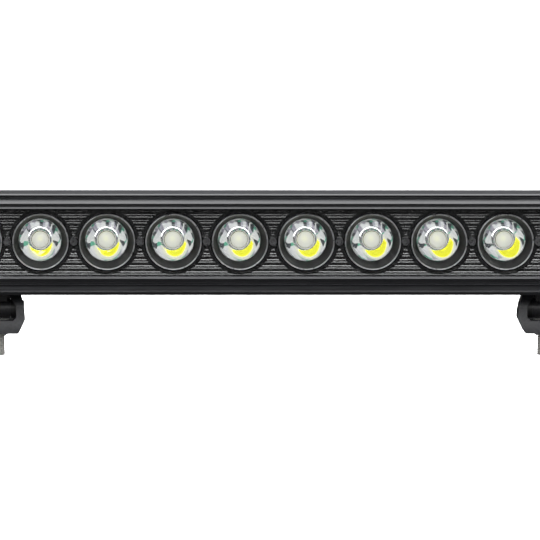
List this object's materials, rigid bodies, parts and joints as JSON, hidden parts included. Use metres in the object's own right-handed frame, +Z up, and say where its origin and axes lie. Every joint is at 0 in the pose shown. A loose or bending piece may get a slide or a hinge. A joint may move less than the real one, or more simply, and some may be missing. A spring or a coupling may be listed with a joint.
{
  "type": "led light bar",
  "caption": "Single-row LED light bar: grooved black extruded housing, deep round LED cups with clear lenses, and swivel feet with studs that slide in a T-slot underneath.",
  "frame": {"origin": "midway between the two mounting studs, on the plane that the collars under the feet bear on", "axes": "+X along the bar, the light shines towards -Y, +Z up from the studs to the bar"},
  "size_m": [0.436, 0.0743, 0.1025],
  "materials": {
    "anodised_black": "satin",
    "cap_black": "satin",
    "seal_rubber": "matte",
    "black_steel": "satin",
    "plate_plastic": "gloss",
    "plate_screw_steel": "satin",
    "cup_plastic": "gloss",
    "clear_optic": "polished",
    "clear_cover": "polished",
    "board_green": "satin",
    "led_ceramic": "satin",
    "led_silicone": "polished",
    "zinc_steel": "satin",
    "pad_silicone": "matte",
    "inductor_copper": "satin",
    "capacitor_can": "satin",
    "chip_plastic": "matte",
    "lead_red": "satin",
    "lead_black": "satin",
    "inlet_metal": "satin",
    "pin_brass": "polished",
    "shoe_black": "satin",
    "foot_black": "satin",
    "spacer_nylon": "matte",
    "stud_steel": "satin",
    "collar_zinc": "satin"
  },
  "bodies": {
    "light_bar": {"housing": "anodised_black", "end_cap_left": "cap_black", "end_cap_right": "cap_black", "end_gasket_left": "seal_rubber", "end_gasket_right": "seal_rubber", "end_cap_screws": "black_steel", "face_plate": "plate_plastic", "face_plate_screws": "plate_screw_steel", "cups": "cup_plastic", "optics": "clear_optic", "lens_cover": "clear_cover", "lens_gaskets": "seal_rubber", "led_board": "board_green", "led_packages": "led_ceramic", "led_domes": "led_silicone", "led_board_screws": "zinc_steel", "thermal_pad": "pad_silicone", "driver_board": "board_green", "driver_standoffs": "pin_brass", "driver_screws": "zinc_steel", "driver_inductors": "inductor_copper", "driver_capacitors": "capacitor_can", "driver_chips": "chip_plastic", "driver_leads": "lead_red", "supply_leads": "lead_black", "inlet_body": "inlet_metal", "inlet_nut": "zinc_steel", "inlet_seal": "seal_rubber", "inlet_core": "chip_plastic", "inlet_pins": "pin_brass", "breather_vent": "chip_plastic", "vent_seal": "seal_rubber"},
    "left_shoe": {"shoe_left": "shoe_black", "shoe_lock_screws_left": "black_steel"},
    "left_foot": {"foot_left": "foot_black", "pivot_bolt_left": "black_steel", "pivot_nut_left": "black_steel", "pivot_spacers_left": "spacer_nylon", "stud_left": "stud_steel", "stud_collar_left": "collar_zinc"},
    "right_shoe": {"shoe_right": "shoe_black", "shoe_lock_screws_right": "black_steel"},
    "right_foot": {"foot_right": "foot_black", "pivot_bolt_right": "black_steel", "pivot_nut_right": "black_steel", "pivot_spacers_right": "spacer_nylon", "stud_right": "stud_steel", "stud_collar_right": "collar_zinc"}
  },
  "joints": [
    {"name": "left_shoe_slide", "type": "slide", "parent": "light_bar", "child": "left_shoe", "axis": [-1, 0, 0], "range_m": [-0.14, 0.016]},
    {"name": "left_foot_tilt", "type": "hinge", "parent": "left_shoe", "child": "left_foot", "pos_m": [-0.165, 0, 0.0164], "axis": [1, 0, 0], "range_deg": [-45, 45]},
    {"name": "right_shoe_slide", "type": "slide", "parent": "light_bar", "child": "right_shoe", "axis": [1, 0, 0], "range_m": [-0.14, 0.016]},
    {"name": "right_foot_tilt", "type": "hinge", "parent": "right_shoe", "child": "right_foot", "pos_m": [0.165, 0, 0.0164], "axis": [1, 0, 0], "range_deg": [-45, 45]}
  ]
}
